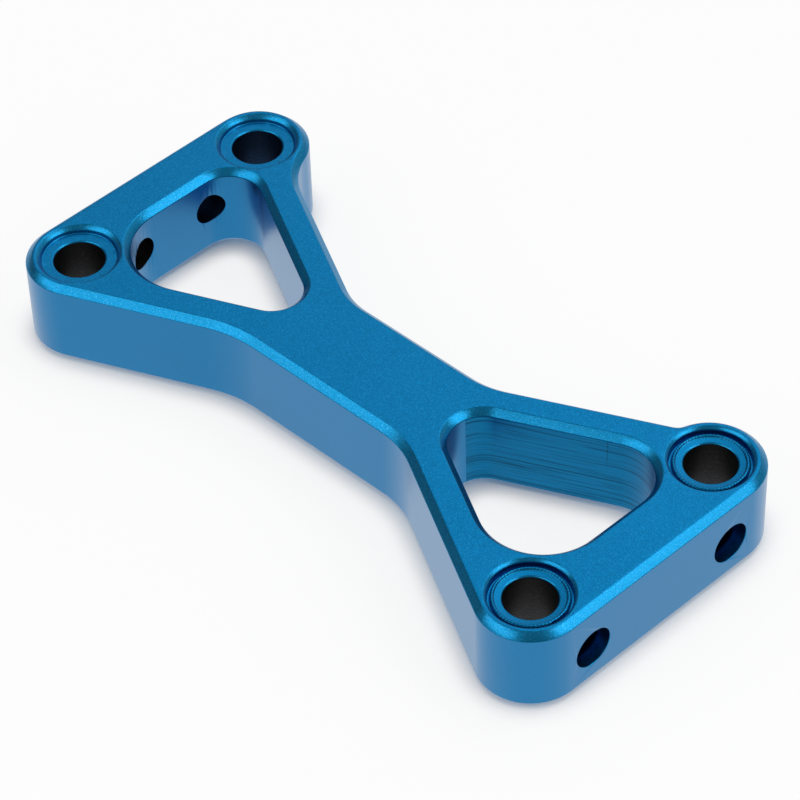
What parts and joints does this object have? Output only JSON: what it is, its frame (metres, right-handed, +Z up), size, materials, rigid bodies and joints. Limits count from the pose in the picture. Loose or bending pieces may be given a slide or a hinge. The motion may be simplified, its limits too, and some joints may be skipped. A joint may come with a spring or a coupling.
{
  "type": "machined bracket",
  "caption": "One-piece bow-tie plate with end bars, triangular windows, recessed corner bores, bevelled edges and cross holes in its ends.",
  "frame": {"origin": "centre of the footprint on the underside, midway between the four vertical bores", "axes": "+X along the length towards the end with the wide-set blind cross holes, +Y towards the side where a hollow sets each boss off from its arm, +Z up through the recessed top face"},
  "size_m": [0.0936, 0.0434, 0.0125],
  "materials": {
    "anodised_blue": "blue anodised over fine bead blast, satin"
  },
  "bodies": {
    "root": {"bracket": "anodised_blue"}
  },
  "joints": []
}
